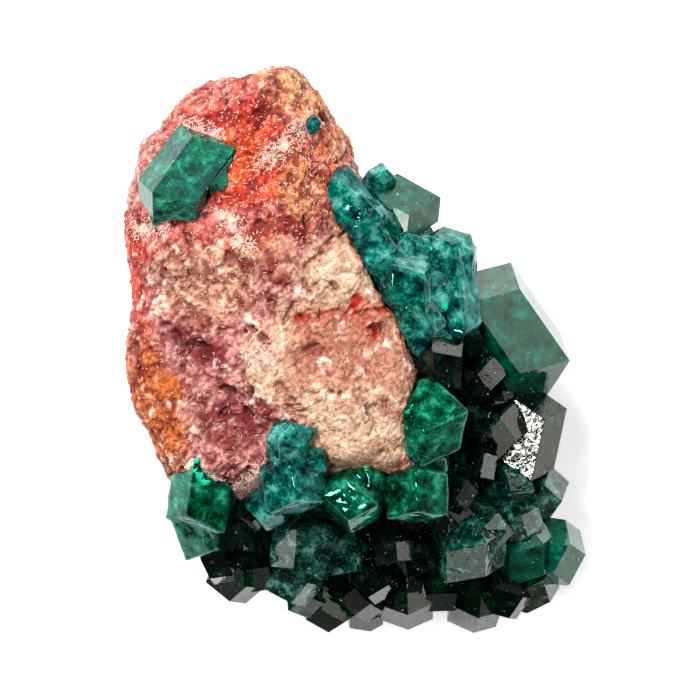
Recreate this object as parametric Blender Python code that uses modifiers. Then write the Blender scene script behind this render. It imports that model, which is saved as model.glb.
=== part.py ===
"""Dioptase on matrix: green dioptase crystals grown round two sides of a granular, iron-stained rock.

The specimen lies on its flat broken back. +Z is up out of its front face, +Y runs towards the
bare peak of the rock and +X towards the crystal-covered flank. Lengths below are in millimetres
and angles in degrees; MM turns them into the metres of the scene.
"""

import math
import random
from collections import namedtuple

import bmesh
import bpy
from mathutils import Matrix, Vector

MM = 0.001

GAP = 0.3  # clearance kept between neighbouring pieces
WELD = 0.01  # points of one piece closer than this become one

# Dioptase is trigonal: a six-sided prism {11-20} closed by the rhombohedron {02-21}
CELL_RATIO = 0.534  # c / a
RHOMB_TILT = math.atan(4 * CELL_RATIO / math.sqrt(3))  # between a rhombohedron face and the c axis
FACE_SCATTER = 0.07  # how far real faces stray from the ideal form, as a share of their distance

# Matrix rock
ROCK_TOP = 22.6
ROCK_GRID = 1.0  # voxel size that rounds the break edges
ROCK_FACES = 2500
LUMPS = ((8.0, 1.8), (2.8, 0.8))  # (size, height) of the lumps on the broken faces
ROCK_OUTLINE = (
    (-6.6, 23.2), (-4.3, 23.1), (-2.9, 21.6), (-2.3, 19.6), (-0.6, 17.8), (0.5, 15.2), (2.0, 12.4),
    (9.0, 6.0), (14.0, -4.0), (13.5, -12.0), (10.0, -18.5), (0.0, -19.0), (-7.5, -18.0),
    (-11.9, -15.5), (-14.3, -11.4), (-15.6, -9.8), (-16.4, -5.7), (-18.3, -1.6), (-18.7, 0.8),
    (-17.6, 3.3), (-18.5, 8.4), (-17.6, 13.9), (-16.9, 15.9), (-15.4, 18.4), (-12.9, 21.8),
    (-9.8, 22.4), (-7.4, 22.9),
)
# Each break is a plane: a point on it and the direction it faces
ROCK_BREAKS = (
    ((-6.0, 8.0, 21.3), (-0.20, 0.34, 0.92)),  # orange upper face
    ((-3.6, 19.0, 16.5), (0.70, 0.28, 0.66)),  # fibrous flank beside the peak
    ((-8.0, -1.0, 20.2), (-0.25, -0.10, 0.96)),  # mauve middle face
    ((-14.5, -7.0, 18.0), (-0.70, -0.30, 0.65)),  # ochre strip at the lower left
    ((-17.0, 6.0, 17.2), (-0.80, 0.10, 0.59)),  # left edge
    ((-13.8, 19.4, 14.4), (-0.55, 0.60, 0.58)),  # upper left shoulder
    ((-0.6, 14.0, 17.2), (0.78, 0.36, 0.51)),  # upper right flank, under crystals
    ((3.6, 2.0, 19.4), (0.86, 0.14, 0.49)),  # right flank, under crystals
    ((5.3, -6.0, 19.2), (0.90, -0.12, 0.42)),  # right flank further down, under crystals
    ((5.2, -8.8, 19.2), (0.66, -0.58, 0.47)),  # lower right corner, under crystals
    ((-2.0, -9.9, 18.8), (0.02, -0.86, 0.51)),  # bottom flank, under crystals
    ((-11.5, -10.8, 16.8), (-0.35, -0.78, 0.52)),  # lower left corner, under crystals
    ((-18.6, 1.0, 8.5), (-0.93, 0.0, -0.37)),  # left side, undercut
    ((-8.0, 22.4, 9.0), (-0.20, 0.88, -0.43)),  # top side, undercut
    ((0.0, 17.0, 9.0), (0.70, 0.62, -0.36)),  # upper right side, undercut
    ((12.6, 0.0, 6.0), (0.95, 0.0, -0.31)),  # right side, undercut
    ((0.0, -16.8, 6.0), (0.0, -0.95, -0.31)),  # bottom side, undercut
    ((-14.5, -12.0, 8.0), (-0.66, -0.62, -0.42)),  # lower left side, undercut
)
CREAM_SLAB = ((-3.9, 6.6), (-0.2, 9.4), (2.4, 5.6), (4.6, 0.8), (5.2, -3.2), (5.0, -8.2),
              (-1.6, -9.6), (-3.0, -7.0), (-7.6, -5.4), (-8.4, -2.2), (-5.6, 1.6))
SLAB_LEVEL = 21.5  # height of the raised slab's face above the back
SLAB_ROOT = 8.0  # the slab reaches this far down into the rock
SLAB_BEVEL = ((5.0, 0.0, 19.4), (0.80, 0.0, 0.60))  # its right edge, broken at a slant
SLAB_FACE = ((-3.0, 0.0, SLAB_LEVEL), (0.14, -0.04, 0.99))  # its face, which leans a little
BACK_MARGIN = 2.0  # the blank starts below the back, which is cut flat after the roughening

# A crystal: its middle, the azimuth and elevation of its c axis, its turn about that axis,
# its width across the prism flats and its full length
Crystal = namedtuple("Crystal", "x y z azimuth elevation turn width length")

CLUSTERS = {
    "upper_left_crystal": (
        Crystal(-13.2, 13.8, 16.6, -125, 21, 58, 5.3, 9.6),
        Crystal(-10.8, 14.1, 16.8, -110, 22, 50, 3.4, 5.4),
        Crystal(-13.4, 11.3, 17.2, -70, 36, 10, 2.6, 4.0),
    ),
    "tiny_top_crystal": (Crystal(-3.2, 18.0, 17.1, 60, 50, 0, 1.0, 2.6),),
    "large_right_crystal": (Crystal(12.8, 1.0, 10.8, 125, 8, 20, 7.3, 11.8),),
    "big_green_crystal": (
        Crystal(6.0, -5.8, 17.6, 78, 24, -26, 6.0, 7.8),
        Crystal(5.6, -7.3, 17.2, 100, 40, 12, 4.4, 6.2),
    ),
    "front_rim_hexagonal_crystal": (Crystal(5.3, -11.0, 16.6, -84, 58, 26, 5.0, 7.2),),
    "front_rim_crystal": (
        Crystal(0.4, -11.4, 17.0, -104, 42, -20, 4.7, 6.8),
        Crystal(1.2, -10.4, 17.4, -60, 60, 8, 3.6, 5.0),
    ),
    "glassy_lower_crystal": (
        Crystal(9.5, -15.6, 11.6, -62, 26, 6, 5.2, 7.2),
        Crystal(10.4, -14.6, 11.2, -40, 40, 20, 3.6, 5.8),
    ),
    "lower_left_crystal": (
        Crystal(-11.7, -11.0, 15.2, 82, 16, 8, 5.2, 8.4),
        Crystal(-11.9, -13.9, 13.4, 108, 34, 25, 4.8, 7.2),
    ),
    "teal_stack": (
        Crystal(-4.9, -7.9, 20.2, 84, 46, 10, 3.3, 5.4),
        Crystal(-3.3, -9.1, 19.4, 30, 55, -10, 2.3, 4.4),
        Crystal(-4.7, -10.4, 18.6, -70, 60, 20, 5.0, 6.4),
        Crystal(-6.3, -12.2, 16.4, -120, 40, 0, 3.0, 5.4),
    ),
    "upper_right_crystals": (
        Crystal(-0.5, 12.0, 16.8, -52, 12, 14, 3.8, 6.0),
        Crystal(0.8, 10.6, 17.0, -48, 22, -8, 3.6, 5.6),
        Crystal(2.1, 13.3, 15.0, 60, 40, 0, 2.0, 4.0),
        Crystal(2.5, 10.3, 15.8, -20, 40, 15, 2.6, 4.6),
        Crystal(1.4, 9.6, 17.0, -60, 50, 20, 1.8, 3.6),
    ),
    "grey_faced_crystal": (Crystal(3.5, 11.2, 13.9, 84, 6, -10, 6.0, 6.4),),
    "tall_ridge_crystals": (
        Crystal(6.0, 7.3, 15.3, 100, 42, 12, 2.9, 5.0),
        Crystal(7.6, 6.9, 14.6, 30, 40, -24, 4.0, 6.4),
        Crystal(8.0, 5.0, 15.2, -84, 6, 10, 4.2, 9.8),
    ),
    "teal_ridge": (
        Crystal(2.4, 7.2, 17.4, 140, 35, 10, 4.2, 6.0),
        Crystal(3.9, 5.0, 17.8, 24, 46, -12, 4.8, 7.0),
        Crystal(4.9, 2.3, 18.0, -30, 50, 15, 3.8, 6.0),
        Crystal(6.2, 4.1, 16.2, 55, 40, 5, 4.4, 6.2),
        Crystal(6.0, 1.4, 16.6, -10, 35, -5, 3.4, 5.4),
        Crystal(4.5, 7.2, 16.2, 80, 40, 16, 3.8, 5.8),
    ),
    "middle_right_crystals": (
        Crystal(6.7, -1.0, 17.0, 10, 40, 10, 4.2, 6.2),
        Crystal(9.0, 0.2, 14.8, 40, 40, 0, 2.8, 5.0),
        Crystal(10.2, -1.4, 14.0, -40, 38, 22, 2.8, 5.2),
        Crystal(11.2, -3.0, 12.4, -72, 22, 0, 2.8, 6.0),
        Crystal(8.9, -2.8, 14.0, -20, 30, -12, 3.4, 5.4),
    ),
    "slate_crystals": (
        Crystal(9.6, -6.0, 13.8, 20, 50, -10, 3.0, 5.4),
        Crystal(11.7, -6.0, 12.0, -35, 40, 14, 3.8, 6.0),
        Crystal(9.8, -8.6, 13.4, -70, 45, 0, 3.2, 5.0),
    ),
    "right_edge_crystal": (Crystal(14.6, -7.2, 10.2, 78, 6, -8, 4.5, 8.0),),
    "lower_right_edge_crystals": (
        Crystal(14.8, -11.4, 7.8, -20, 30, 10, 3.8, 6.4),
        Crystal(12.6, -11.2, 10.2, 40, 40, -10, 3.2, 6.2),
        Crystal(13.3, -13.2, 9.2, -60, 35, 18, 3.6, 6.2),
    ),
    "small_inner_crystals": (
        Crystal(8.8, -10.8, 14.0, -100, 60, 8, 3.0, 5.4),
        Crystal(7.5, -12.8, 13.4, -40, 50, 20, 2.8, 5.0),
    ),
    "right_tip_crystals": (
        Crystal(13.8, -15.8, 8.0, -50, 25, -5, 4.4, 7.4),
        Crystal(15.9, -16.5, 6.8, -8, 12, 12, 4.5, 6.8),
    ),
    "bottom_right_crystals": (
        Crystal(14.2, -18.4, 6.2, -45, 20, 10, 3.8, 6.6),
        Crystal(12.4, -19.1, 7.4, -80, 30, -12, 3.4, 6.6),
        Crystal(10.4, -20.0, 7.0, -95, 12, 22, 3.9, 6.2),
    ),
    "bottom_middle_crystals": (
        Crystal(3.1, -15.3, 12.8, -70, 45, 15, 3.0, 5.8),
        Crystal(2.4, -17.6, 10.4, -110, 35, -8, 3.2, 6.2),
        Crystal(4.9, -16.0, 11.8, -50, 40, 0, 3.0, 6.0),
    ),
    "bottom_point_crystals": (
        Crystal(4.5, -19.2, 7.8, -88, 8, 30, 4.0, 7.4),
        Crystal(1.7, -19.5, 7.8, -120, 30, 10, 2.8, 6.0),
        Crystal(-1.5, -19.5, 7.2, -95, 12, -14, 3.2, 7.0),
        Crystal(1.0, -20.2, 5.6, -80, 14, 22, 2.6, 6.0),
        Crystal(7.4, -18.6, 7.8, -70, 22, 8, 3.4, 6.4),
    ),
    "lower_middle_crystals": (
        Crystal(-3.6, -15.6, 13.6, 85, 28, 14, 4.8, 6.6),
        Crystal(-4.3, -17.9, 10.2, -100, 30, 4, 3.8, 6.4),
        Crystal(-3.5, -19.3, 7.8, -85, 18, -18, 2.8, 5.6),
        Crystal(-0.6, -16.1, 11.8, -60, 40, -6, 3.4, 5.8),
    ),
    "lower_left_cluster": (
        Crystal(-9.1, -14.0, 13.4, -80, 45, 12, 3.4, 5.8),
        Crystal(-9.7, -16.4, 10.8, -130, 28, -10, 3.2, 6.0),
        Crystal(-8.9, -17.6, 8.6, -110, 20, 8, 3.8, 6.2),
        Crystal(-7.2, -16.8, 9.2, -70, 32, 20, 3.4, 6.2),
        Crystal(-7.8, -12.6, 15.4, -100, 55, 0, 2.0, 4.6),
    ),
}

# Small crystals that line the lower flanks: each row follows a line of (x, y) from start to end
DruseRow = namedtuple("DruseRow", "start end level outward count width length")
DRUSE = {
    "right_druse": DruseRow((12.0, 4.6), (12.8, -9.4), 4.2, -2, 5, 3.6, 6.0),
    "upper_right_druse": DruseRow((2.2, 10.0), (8.4, 4.6), 6.6, 40, 4, 3.4, 5.2),
    "corner_druse": DruseRow((12.2, -12.4), (9.0, -17.0), 3.6, -48, 4, 3.4, 5.4),
    "bottom_druse": DruseRow((6.2, -17.6), (-7.0, -17.2), 3.8, -90, 6, 3.2, 5.2),
}

CRYSTAL_GREEN = (0.0, 0.20, 0.12, 1.0)
CRYSTAL_TEAL = (0.0, 0.32, 0.24, 1.0)
ROCK_ORANGE = (0.56, 0.20, 0.11, 1.0)
TEAL_CLUSTERS = ("teal_stack", "teal_ridge", "upper_right_crystals", "front_rim_crystal")


def clear_scene():
    for obj in list(bpy.data.objects):
        bpy.data.objects.remove(obj, do_unlink=True)


def make_collection(name):
    collection = bpy.data.collections.new(name)
    bpy.context.scene.collection.children.link(collection)
    return collection


def make_material(name, color, roughness):
    material = bpy.data.materials.new(name)
    material.use_nodes = True
    shader = material.node_tree.nodes["Principled BSDF"]
    shader.inputs["Base Color"].default_value = color
    shader.inputs["Roughness"].default_value = roughness
    shader.inputs["Metallic"].default_value = 0.0
    material.diffuse_color = color
    return material


def new_object(name, bm, collection):
    """Turns a bmesh in millimetres into an object in metres."""
    bmesh.ops.scale(bm, vec=(MM, MM, MM), verts=bm.verts)
    mesh = bpy.data.meshes.new(name)
    bm.to_mesh(mesh)
    bm.free()
    obj = bpy.data.objects.new(name, mesh)
    collection.objects.link(obj)
    return obj


def slice_off(bm, point, facing):
    """Cuts away what lies beyond a plane and closes the cut with one face."""
    everything = bm.verts[:] + bm.edges[:] + bm.faces[:]
    bmesh.ops.bisect_plane(
        bm, geom=everything, dist=1e-6, plane_co=point, plane_no=facing, clear_outer=True
    )
    bmesh.ops.holes_fill(bm, edges=[edge for edge in bm.edges if edge.is_boundary], sides=0)


def bake(obj):
    """Replaces an object's mesh with the one its modifiers make."""
    graph = bpy.context.evaluated_depsgraph_get()
    mesh = bpy.data.meshes.new_from_object(obj.evaluated_get(graph))
    old = obj.data
    obj.modifiers.clear()
    obj.data = mesh
    bpy.data.meshes.remove(old)


def boolean(obj, operation, others):
    """Joins or cuts an object with a list of others, which are used up."""
    if not others:
        return
    tools = bpy.data.collections.new("tools")
    bpy.context.scene.collection.children.link(tools)
    for other in others:
        for home in list(other.users_collection):
            home.objects.unlink(other)
        tools.objects.link(other)
    modifier = obj.modifiers.new(operation, "BOOLEAN")
    modifier.operation = operation
    modifier.operand_type = "COLLECTION"
    modifier.collection = tools
    modifier.solver = "EXACT"
    bake(obj)
    for other in others:
        bpy.data.objects.remove(other, do_unlink=True)
    bpy.data.collections.remove(tools)


def keep_largest_body(obj):
    """Drops the chips that trimming leaves behind, and welds sliver edges."""
    bm = bmesh.new()
    bm.from_mesh(obj.data)
    bmesh.ops.remove_doubles(bm, verts=bm.verts, dist=WELD * MM)
    bmesh.ops.dissolve_degenerate(bm, edges=bm.edges, dist=WELD * MM)
    unseen = set(bm.verts)
    bodies = []
    while unseen:
        body = {unseen.pop()}
        edge_of_body = set(body)
        while edge_of_body:
            reached = {e.other_vert(v) for v in edge_of_body for e in v.link_edges}
            edge_of_body = reached - body
            body |= edge_of_body
        unseen -= body
        bodies.append(body)
    bodies.sort(key=len)
    for body in bodies[:-1]:
        bmesh.ops.delete(bm, geom=list(body), context="VERTS")
    bmesh.ops.triangulate(bm, faces=bm.faces)
    bm.to_mesh(obj.data)
    bm.free()
    return len(bodies)


def crystal_frame(crystal):
    """Axes of a crystal: c along its azimuth and elevation, a prism face upwards at turn 0."""
    azimuth = math.radians(crystal.azimuth)
    elevation = math.radians(crystal.elevation)
    c_axis = Vector(
        (
            math.cos(elevation) * math.cos(azimuth),
            math.cos(elevation) * math.sin(azimuth),
            math.sin(elevation),
        )
    )
    up_face = (Vector((0, 0, 1)) - c_axis.z * c_axis).normalized()
    up_face = Matrix.Rotation(math.radians(crystal.turn), 3, c_axis) @ up_face
    return c_axis, up_face, c_axis.cross(up_face)


def crystal_planes(crystal, seed):
    """Distances and directions of the twelve faces, each moved a little off the ideal form."""
    dice = random.Random(seed)
    c_axis, up_face, side = crystal_frame(crystal)
    apex = crystal.length / 2 * math.sin(RHOMB_TILT)

    def direction(angle):
        return math.cos(math.radians(angle)) * up_face + math.sin(math.radians(angle)) * side

    planes = []
    for step in range(6):
        reach = crystal.width / 2 * dice.uniform(1 - FACE_SCATTER, 1 + FACE_SCATTER)
        planes.append((direction(60 * step), reach))
    for end, first in ((1, 30), (-1, 90)):
        for step in range(3):
            outward = direction(first + 120 * step) * math.cos(RHOMB_TILT)
            reach = apex * dice.uniform(1 - FACE_SCATTER, 1 + FACE_SCATTER)
            planes.append((outward + end * c_axis * math.sin(RHOMB_TILT), reach))
    return planes


def make_crystal(crystal, seed, collection, grow=0.0):
    """One dioptase crystal, cut from a block by its prism and rhombohedron faces."""
    middle = Vector((crystal.x, crystal.y, crystal.z))
    bm = bmesh.new()
    bmesh.ops.create_cube(bm, size=3 * max(crystal.width, crystal.length))
    bmesh.ops.translate(bm, vec=middle, verts=bm.verts)
    for facing, reach in crystal_planes(crystal, seed):
        slice_off(bm, middle + facing * (reach + grow), facing)
    return new_object("crystal", bm, collection)


def extrude_outline(name, outline, bottom, top, collection):
    """A slab with the given outline, made from a filled 2D curve."""
    curve = bpy.data.curves.new(name, "CURVE")
    curve.dimensions = "2D"
    curve.fill_mode = "BOTH"
    curve.extrude = (top - bottom) / 2 * MM
    spline = curve.splines.new("POLY")
    spline.points.add(len(outline) - 1)
    for point, (x, y) in zip(spline.points, outline):
        point.co = (x * MM, y * MM, 0, 1)
    spline.use_cyclic_u = True
    guide = bpy.data.objects.new(name, curve)
    collection.objects.link(guide)
    guide.location.z = (top + bottom) / 2 * MM
    bpy.context.view_layer.update()
    graph = bpy.context.evaluated_depsgraph_get()
    mesh = bpy.data.meshes.new_from_object(guide.evaluated_get(graph))
    mesh.transform(guide.matrix_world)
    bpy.data.objects.remove(guide, do_unlink=True)
    bm = bmesh.new()
    bm.from_mesh(mesh)
    bmesh.ops.remove_doubles(bm, verts=bm.verts, dist=WELD * MM)
    bmesh.ops.recalc_face_normals(bm, faces=bm.faces)
    bmesh.ops.scale(bm, vec=(1 / MM, 1 / MM, 1 / MM), verts=bm.verts)
    bpy.data.meshes.remove(mesh)
    return bm


def roughen(obj):
    """Rounds the break edges with a voxel remesh and raises lumps of several sizes."""
    remesh = obj.modifiers.new("round_edges", "REMESH")
    remesh.mode = "VOXEL"
    remesh.voxel_size = ROCK_GRID * MM
    for size, height in LUMPS:
        texture = bpy.data.textures.new(f"lumps_{size}", "CLOUDS")
        texture.noise_scale = size * MM
        texture.noise_depth = 2
        lumps = obj.modifiers.new(f"lumps_{size}", "DISPLACE")
        lumps.texture = texture
        lumps.texture_coords = "GLOBAL"
        lumps.strength = height * MM
    bake(obj)
    thin_out = obj.modifiers.new("fewer_faces", "DECIMATE")
    thin_out.ratio = ROCK_FACES / (2 * len(obj.data.polygons))
    bake(obj)


def make_matrix(collection):
    """The rock: an extruded outline, broken along planes, with a raised slab on its face."""
    bm = extrude_outline("matrix", ROCK_OUTLINE, -BACK_MARGIN, ROCK_TOP, collection)
    for point, facing in ROCK_BREAKS:
        slice_off(bm, Vector(point), Vector(facing).normalized())
    rock = new_object("matrix", bm, collection)
    slab = extrude_outline("slab", CREAM_SLAB, SLAB_ROOT, SLAB_LEVEL, collection)
    for point, facing in (SLAB_BEVEL, SLAB_FACE):
        slice_off(slab, Vector(point), Vector(facing))
    boolean(rock, "UNION", [new_object("slab", slab, collection)])
    roughen(rock)
    bm = bmesh.new()
    bm.from_mesh(rock.data)
    slice_off(bm, Vector((0, 0, 0)), Vector((0, 0, -1)))
    bm.to_mesh(rock.data)
    bm.free()
    keep_largest_body(rock)
    return rock


def grown_copy(obj, grow, collection):
    """A copy of an object with its surface moved out by a set distance."""
    copy = bpy.data.objects.new(obj.name + "_grown", obj.data.copy())
    collection.objects.link(copy)
    outward = copy.modifiers.new("outward", "DISPLACE")
    outward.strength = grow * MM
    outward.mid_level = 0.0
    bake(copy)
    return copy


def druse_crystals(row, dice):
    """Crystals strung along a row, each a little different in size, place and direction."""
    crystals = []
    for step in range(row.count):
        along = (step + 0.5) / row.count
        x = row.start[0] + along * (row.end[0] - row.start[0]) + dice.uniform(-0.5, 0.5)
        y = row.start[1] + along * (row.end[1] - row.start[1]) + dice.uniform(-0.5, 0.5)
        z = row.level + dice.uniform(-0.8, 0.8)
        azimuth = row.outward + dice.uniform(-28, 28)
        size = dice.uniform(0.85, 1.15)
        crystals.append(
            Crystal(x, y, z, azimuth, dice.uniform(0, 22), dice.uniform(-30, 30),
                    row.width * size, row.length * size)
        )
    return tuple(crystals)


def near(crystal, other):
    """Whether two crystals could touch."""
    apart = math.dist((crystal.x, crystal.y, crystal.z), (other.x, other.y, other.z))
    return apart < (crystal.length + other.length + crystal.width + other.width) / 3


def make_clusters(rock, collection):
    """Every crystal group: its crystals joined, then trimmed clear of the rock and older groups."""
    clusters = dict(CLUSTERS)
    dice = random.Random(7)
    for name, row in DRUSE.items():
        clusters[name] = druse_crystals(row, dice)
    green = make_material("dioptase_green", CRYSTAL_GREEN, 0.12)
    teal = make_material("dioptase_teal", CRYSTAL_TEAL, 0.3)
    settled = []
    seed = 0
    for name, crystals in clusters.items():
        seeds = [seed + step for step in range(len(crystals))]
        seed += len(crystals)
        group = [make_crystal(c, s, collection) for c, s in zip(crystals, seeds)]
        piece = group[0]
        piece.name = name
        boolean(piece, "UNION", group[1:])
        neighbours = [
            make_crystal(old, old_seed, collection, GAP)
            for old, old_seed in settled
            if any(near(old, crystal) for crystal in crystals)
        ]
        boolean(piece, "DIFFERENCE", neighbours)
        boolean(piece, "DIFFERENCE", [grown_copy(rock, GAP, collection)])
        bodies = keep_largest_body(piece)
        piece.data.materials.clear()
        piece.data.materials.append(teal if name in TEAL_CLUSTERS else green)
        settled += list(zip(crystals, seeds))
        print(name, "bodies", bodies, "triangles", len(piece.data.polygons))


def centre_on_origin(pieces):
    """Moves every piece so that the middle of the whole specimen's box lies over the origin."""
    corners = [vertex.co for piece in pieces for vertex in piece.data.vertices]
    middle = [(min(c[i] for c in corners) + max(c[i] for c in corners)) / 2 for i in range(2)]
    for piece in pieces:
        piece.data.transform(Matrix.Translation((-middle[0], -middle[1], 0)))
    print("moved by", [round(-value / MM, 3) for value in middle], "mm")


def main():
    clear_scene()
    specimen = make_collection("dioptase_on_matrix")
    rock = make_matrix(specimen)
    rock.data.materials.clear()
    rock.data.materials.append(make_material("granular_rock", ROCK_ORANGE, 0.9))
    make_clusters(rock, specimen)
    centre_on_origin(specimen.objects)


main()
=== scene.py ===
# %% [markdown]
# # Dioptase on matrix
# The specimen is a granular rock, stained orange, red and mauve by iron, with deep green dioptase
# crystals grown round two of its sides. It lies on its flat back and is seen from straight above.
# The CAD model is the frame: its nodes give every piece its place. This notebook gives the rock its
# grain, the crystals their faces, veils and glassy depth, and sets up the light.

# %% Load the frame
import math

import bmesh
import bpy
import numpy as np
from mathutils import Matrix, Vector
from mathutils.bvhtree import BVHTree


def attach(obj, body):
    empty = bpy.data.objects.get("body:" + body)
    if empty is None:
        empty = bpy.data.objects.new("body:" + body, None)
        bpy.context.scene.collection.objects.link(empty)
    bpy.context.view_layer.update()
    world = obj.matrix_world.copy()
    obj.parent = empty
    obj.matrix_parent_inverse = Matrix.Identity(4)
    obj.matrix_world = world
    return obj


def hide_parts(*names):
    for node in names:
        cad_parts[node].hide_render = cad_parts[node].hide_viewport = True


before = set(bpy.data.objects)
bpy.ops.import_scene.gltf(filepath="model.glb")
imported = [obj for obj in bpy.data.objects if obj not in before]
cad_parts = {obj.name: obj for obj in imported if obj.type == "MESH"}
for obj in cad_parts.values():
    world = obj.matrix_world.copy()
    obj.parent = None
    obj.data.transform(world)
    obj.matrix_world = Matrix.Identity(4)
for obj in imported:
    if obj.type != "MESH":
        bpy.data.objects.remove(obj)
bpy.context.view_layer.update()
MM = 0.001

# %% [markdown]
# ## Camera and light
# The camera stands far above with a long lens, so that the view is nearly flat, as in a
# mineral dealer's picture. Minerals are lit in a pale tent: light comes from all sides, and the
# lens looks in through a dark opening. Crystal faces that look straight up mirror that opening
# and stay deep, and tilted faces mirror the tent and turn grey. A world whose brightness is a
# function of height does that, and soft lamps add what the tent's lamps would.

# %% Camera
VIEW_WIDTH = 57.2 * MM
VIEW_HEIGHT = 13 * MM
CAMERA_DISTANCE = 0.8
PICTURE_CENTRE = (-0.33 * MM, -0.02 * MM)

camera_data = bpy.data.cameras.new("camera")
camera_data.angle = 2 * math.atan(VIEW_WIDTH / 2 / (CAMERA_DISTANCE - VIEW_HEIGHT))
camera_data.clip_end = 10
camera = bpy.data.objects.new("camera", camera_data)
camera.location = (*PICTURE_CENTRE, CAMERA_DISTANCE)
bpy.context.scene.collection.objects.link(camera)
bpy.context.scene.camera = camera
bpy.context.scene.view_settings.view_transform = "Standard"
bpy.context.scene.view_settings.look = "Medium High Contrast"
print("lens", round(camera_data.lens), "mm")


# %% Node helper
def linear(code):
    """Turns an sRGB hex colour into linear RGBA: each channel to the power 2.4 above its toe."""
    channels = [int(code[i:i + 2], 16) / 255 for i in (1, 3, 5)]
    flat = [c / 12.92 if c <= 0.04045 else ((c + 0.055) / 1.055) ** 2.4 for c in channels]
    return (*flat, 1.0)


def add(tree, kind, values=None, links=None, **settings):
    """Adds a node, sets its options and input values, and links its inputs from other outputs."""
    node = tree.nodes.new(kind)
    for name, value in settings.items():
        setattr(node, name, value)
    for key, value in (values or {}).items():
        node.inputs[key].default_value = value
    for key, source in (links or {}).items():
        tree.links.new(source, node.inputs[key])
    return node


def ramp(tree, source, stops, **settings):
    """A colour ramp with stops of (place, colour or grey value)."""
    node = add(tree, "ShaderNodeValToRGB", links={"Fac": source})
    for name, value in settings.items():
        setattr(node.color_ramp, name, value)
    elements = node.color_ramp.elements
    while len(elements) < len(stops):
        elements.new(0.5)
    for element, (place, colour) in zip(elements, stops):
        element.position = place
        element.color = colour if isinstance(colour, tuple) else (colour, colour, colour, 1.0)
    return node.outputs["Color"]


def mixed(tree, share, first, second, blend="MIX"):
    """Two colours mixed, or one multiplied by the other; share is a number or another output."""
    node = add(tree, "ShaderNodeMix", data_type="RGBA", blend_type=blend)
    for socket, value in zip((node.inputs[0], node.inputs[6], node.inputs[7]), (share, first, second)):
        if isinstance(value, (float, tuple)):
            socket.default_value = value
        else:
            tree.links.new(value, socket)
    return node.outputs[2]


def noise(tree, place, size, **values):
    """Smooth noise in space with lumps of that size in millimetres; its detail can be given."""
    values["Scale"] = 1 / (size * MM)
    return add(tree, "ShaderNodeTexNoise", values, {"Vector": place}).outputs["Fac"]


def new_material(name):
    """A material with its node tree, its surface node and each point's place on the object."""
    material = bpy.data.materials.new(name)
    material.use_nodes = True
    tree = material.node_tree
    place = add(tree, "ShaderNodeTexCoord").outputs["Object"]
    return material, tree, tree.nodes["Principled BSDF"], place


# %% World: the tent, dark overhead and bright towards the horizon
ZENITH = 0.04
HORIZON = 0.75
NEAR_SIDE = 0.45  # share of the light left on the side below the picture
TENT_STOPS = ((0.0, HORIZON), (0.2, HORIZON), (0.42, 0.2), (0.7, ZENITH))

world = bpy.data.worlds.new("tent")
bpy.context.scene.world = world
world.use_nodes = True
tree = world.node_tree
tree.nodes.clear()
direction = add(tree, "ShaderNodeTexCoord").outputs["Generated"]
parts = add(tree, "ShaderNodeSeparateXYZ", links={"Vector": direction}).outputs
sideways = add(tree, "ShaderNodeMapRange", {"From Min": -0.8, "From Max": 0.6, "To Min": NEAR_SIDE},
               {"Value": parts["Y"]}).outputs["Result"]
glow = ramp(tree, parts["Z"], TENT_STOPS, interpolation="EASE")
background = add(tree, "ShaderNodeBackground", links={"Color": glow, "Strength": sideways})
add(tree, "ShaderNodeOutputWorld", links={"Surface": background.outputs["Background"]})


# %% Lamps: a key for shape, a softbox for the wide faces, a small one for glints, a low fill
LAMP_DISTANCE = 0.6


def soft_lamp(name, azimuth, elevation, size, power, mirrored=True):
    """A square lamp at an azimuth and elevation, turned to the specimen, unseen by the camera.

    A lamp that isn't mirrored lights the rock, but the crystal faces don't show its square.
    """
    data = bpy.data.lights.new(name, "AREA")
    data.shape = "SQUARE"
    data.size = size
    data.energy = power
    lamp = bpy.data.objects.new(name, data)
    a, e = math.radians(azimuth), math.radians(elevation)
    lamp.location = (
        LAMP_DISTANCE * math.cos(e) * math.cos(a),
        LAMP_DISTANCE * math.cos(e) * math.sin(a),
        LAMP_DISTANCE * math.sin(e),
    )
    lamp.rotation_euler = (math.pi / 2 - e, 0, a + math.pi / 2)
    lamp.visible_camera = False
    lamp.visible_glossy = mirrored
    bpy.context.scene.collection.objects.link(lamp)


soft_lamp("key_lamp", 118, 52, 0.22, 3.8, mirrored=False)
soft_lamp("side_lamp", 30, 47, 0.46, 0.9)
soft_lamp("glint_lamp", -155, 71, 0.12, 1.2)
soft_lamp("low_lamp", -95, 22, 0.2, 0.15)

# %% Floor
FLOOR_SIZE = 3.0
FLOOR_GLOW = 0.45  # the paper lies on a light table, which keeps the shadow faint
floor_material = bpy.data.materials.new("matt_white_paper")
floor_material.use_nodes = True
paper = floor_material.node_tree.nodes["Principled BSDF"]
paper.inputs["Base Color"].default_value = linear("#F4F4F4")
paper.inputs["Roughness"].default_value = 0.9
paper.inputs["Emission Color"].default_value = linear("#FFFFFF")
paper.inputs["Emission Strength"].default_value = FLOOR_GLOW
corners = [(-1, -1, 0), (1, -1, 0), (1, 1, 0), (-1, 1, 0)]
floor_mesh = bpy.data.meshes.new("floor")
floor_mesh.from_pydata([tuple(v * FLOOR_SIZE / 2 for v in c) for c in corners], [], [(0, 1, 2, 3)])
floor_mesh.materials.append(floor_material)
floor = bpy.data.objects.new("floor", floor_mesh)
bpy.context.scene.collection.objects.link(floor)


# %% [markdown]
# ## Noise
# Rock has lumps, grains and pits at many sizes. Each is a function of place, so it is
# worked out for all points at once: smooth noise blends random values on a grid, and cell noise
# measures how far each point is from scattered centres, which gives grains with grooves between.

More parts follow.
